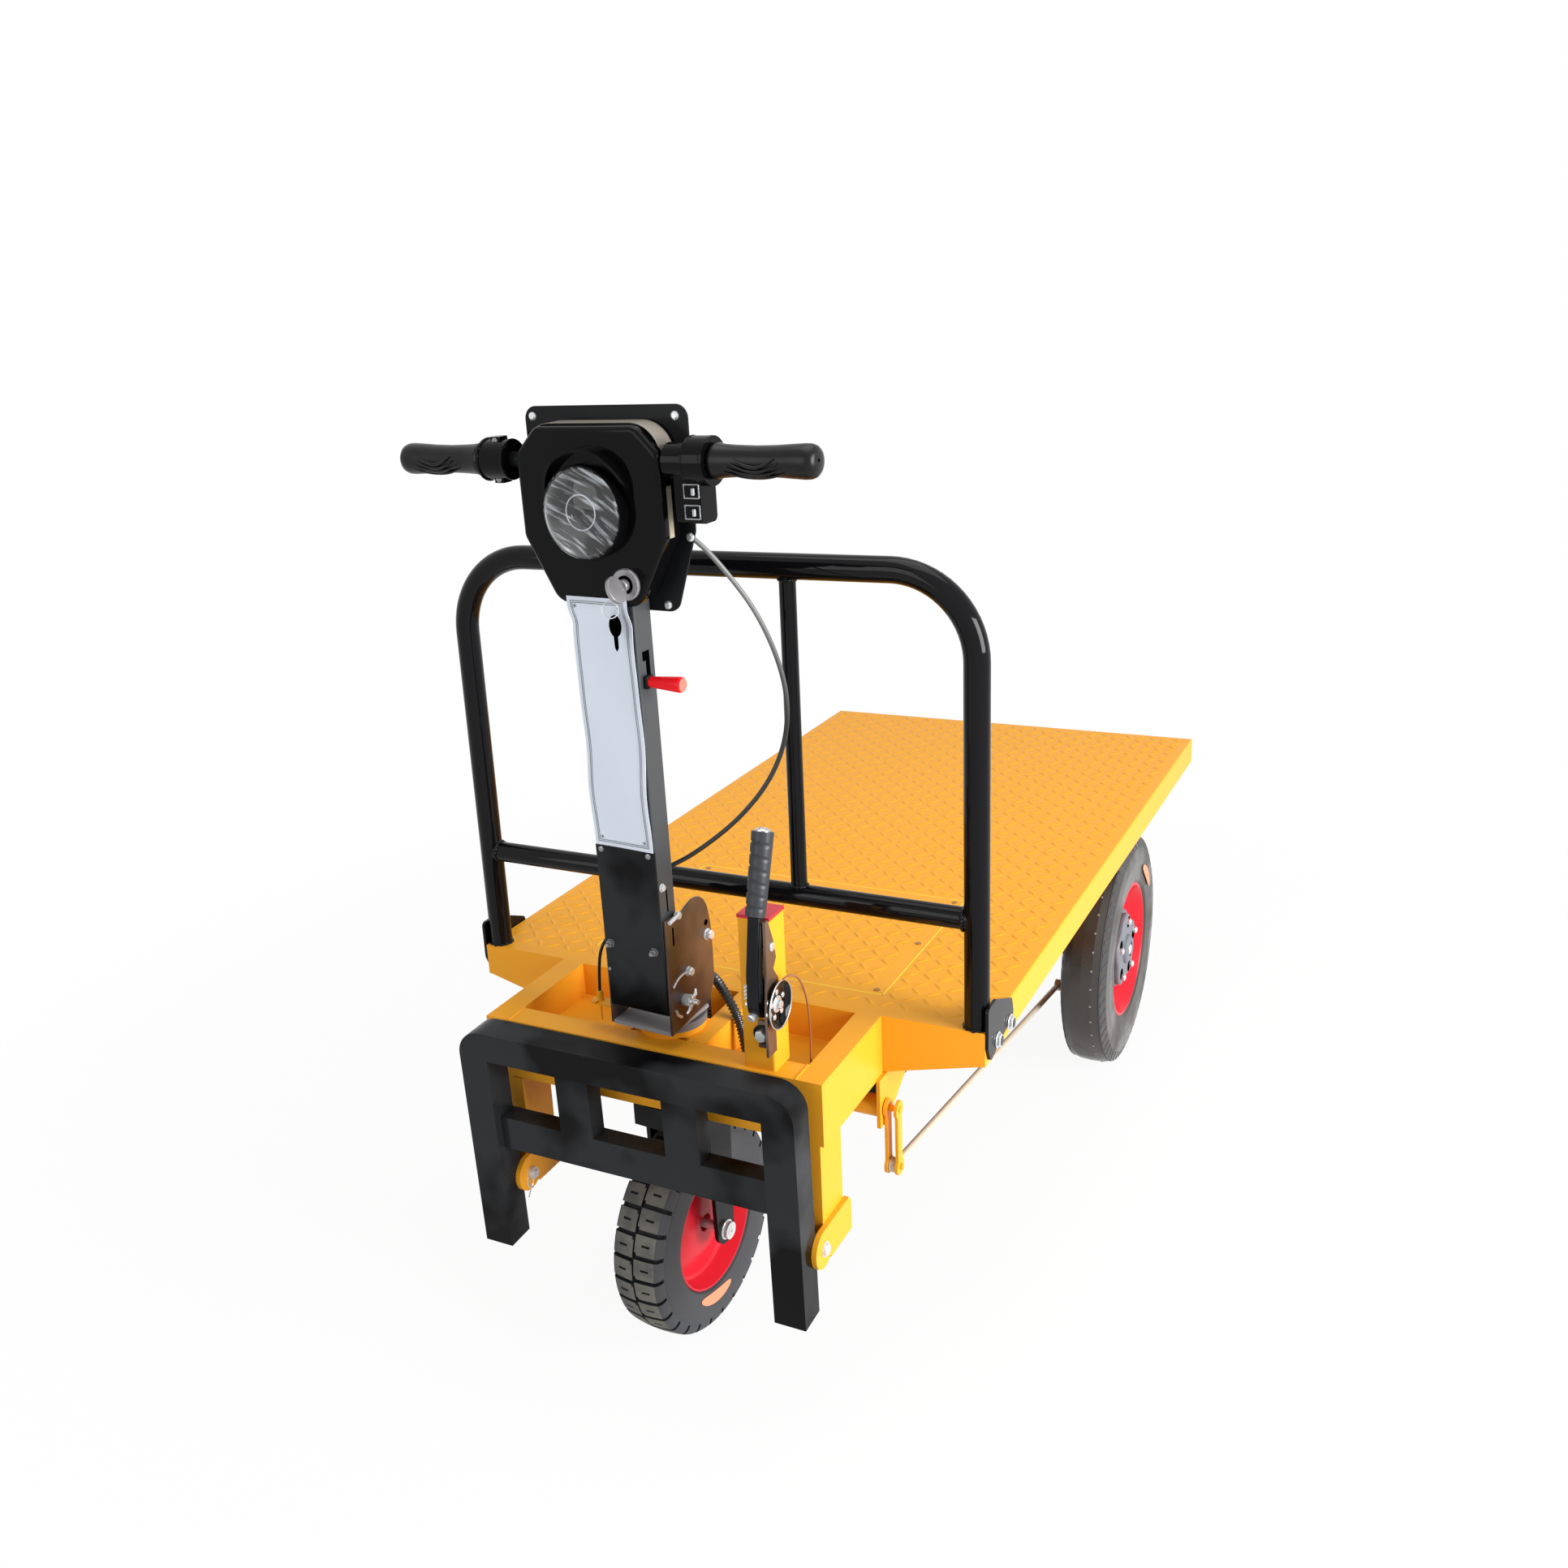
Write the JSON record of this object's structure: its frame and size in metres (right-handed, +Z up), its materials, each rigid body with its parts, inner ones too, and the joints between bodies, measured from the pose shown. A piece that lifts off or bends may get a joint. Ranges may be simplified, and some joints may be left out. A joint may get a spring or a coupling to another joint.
{
  "type": "electric cargo tricycle",
  "caption": "Flat-bed electric cargo tricycle with a tread-plate deck, front tiller column, guard rail and folding front step.",
  "frame": {"origin": "on the ground, in the middle of the vehicle's length and width", "axes": "+Z up, +Y towards the rear of the deck, -Y the driving direction"},
  "size_m": [0.9246, 1.8888, 1.4659],
  "materials": {
    "yellow_paint": "gloss amber-yellow paint",
    "black_gloss_paint": "gloss black paint",
    "black_satin_paint": "satin black paint",
    "red_paint": "gloss red paint",
    "zinc_steel": "zinc-plated",
    "bright_steel": "bright steel",
    "grey_casting": "grey paint on castings",
    "black_plastic": "moulded black",
    "grey_plastic": "moulded grey",
    "red_plastic": "moulded red",
    "white_label": "blank white plate",
    "black_rubber": "matt",
    "brown_cable": "sheathed wire",
    "clear_lens": "clear lens",
    "tyre": "black rubber"
  },
  "bodies": {
    "chassis": {"deck_plate": "yellow_paint", "deck_hatch": "yellow_paint", "main_rails": "yellow_paint", "cross_members": "yellow_paint", "fascias": "yellow_paint", "nose_frame": "yellow_paint", "nose_floor": "yellow_paint", "step_brackets": "yellow_paint", "step_pins": "zinc_steel", "guard_hoop": "black_gloss_paint", "guard_cross_tube": "black_gloss_paint", "guard_middle_post": "black_gloss_paint", "guard_feet": "black_gloss_paint", "brake_post": "yellow_paint", "brake_post_cap": "red_paint", "brake_sector": "bright_steel", "brake_lever": "black_satin_paint", "brake_grip": "grey_plastic", "brake_pulley": "bright_steel", "brake_wire": "brown_cable", "brake_cross_shaft": "yellow_paint", "brake_hangers": "yellow_paint", "brake_rod": "zinc_steel", "rear_axle": "black_satin_paint", "axle_stands": "black_satin_paint", "brake_plates": "grey_casting", "battery_box": "black_satin_paint", "conduit": "black_rubber"},
    "steering": {"fork_crown": "black_satin_paint", "fork_blades": "black_satin_paint", "front_axle": "zinc_steel", "turntable_disc": "grey_casting", "tiller_base": "black_satin_paint", "tilt_pin": "zinc_steel", "cable_tab": "yellow_paint", "left_cable": "black_rubber"},
    "column": {"column_tube": "black_satin_paint", "column_cover": "black_satin_paint", "column_label": "white_label", "latch_handle": "red_plastic", "head_shell": "black_plastic", "head_body": "black_plastic", "head_flange": "black_satin_paint", "head_lamp": "clear_lens", "key_lock": "zinc_steel", "handlebar": "black_satin_paint", "grips": "black_rubber", "bar_controls": "black_plastic", "control_cable": "bright_steel"},
    "front_wheel": {"front_tyre": "tyre", "front_rim": "red_paint"},
    "rear_wheel_left": {"rear_tyre_left": "tyre", "rear_rim_left": "red_paint", "rear_hub_left": "grey_casting"},
    "rear_wheel_right": {"rear_tyre_right": "tyre", "rear_rim_right": "red_paint", "rear_hub_right": "grey_casting"},
    "step": {"step_frame": "black_satin_paint"}
  },
  "joints": [
    {"name": "steering", "type": "hinge", "parent": "chassis", "child": "steering", "pos_m": [0, -0.77365, 0.541], "axis": [0, 0, 1], "range_deg": [-46, 54]},
    {"name": "column_tilt", "type": "hinge", "parent": "steering", "child": "column", "pos_m": [-0.003, -0.81654, 0.612], "axis": [-0.9976, 0.0698, 0], "range_deg": [-55, 0]},
    {"name": "front_wheel_spin", "type": "hinge", "parent": "steering", "child": "front_wheel", "pos_m": [0.0016, -0.75071, 0.1763], "axis": [0.9976, -0.0698, 0], "continuous": true},
    {"name": "rear_wheel_left_spin", "type": "hinge", "parent": "chassis", "child": "rear_wheel_left", "pos_m": [-0.3985, 0.37435, 0.2423], "axis": [1, 0, 0], "continuous": true},
    {"name": "rear_wheel_right_spin", "type": "hinge", "parent": "chassis", "child": "rear_wheel_right", "pos_m": [0.3985, 0.37435, 0.2423], "axis": [1, 0, 0], "continuous": true},
    {"name": "step_fold", "type": "hinge", "parent": "chassis", "child": "step", "pos_m": [0, -0.87515, 0.283], "axis": [1, 0, 0], "range_deg": [0, 86]}
  ]
}
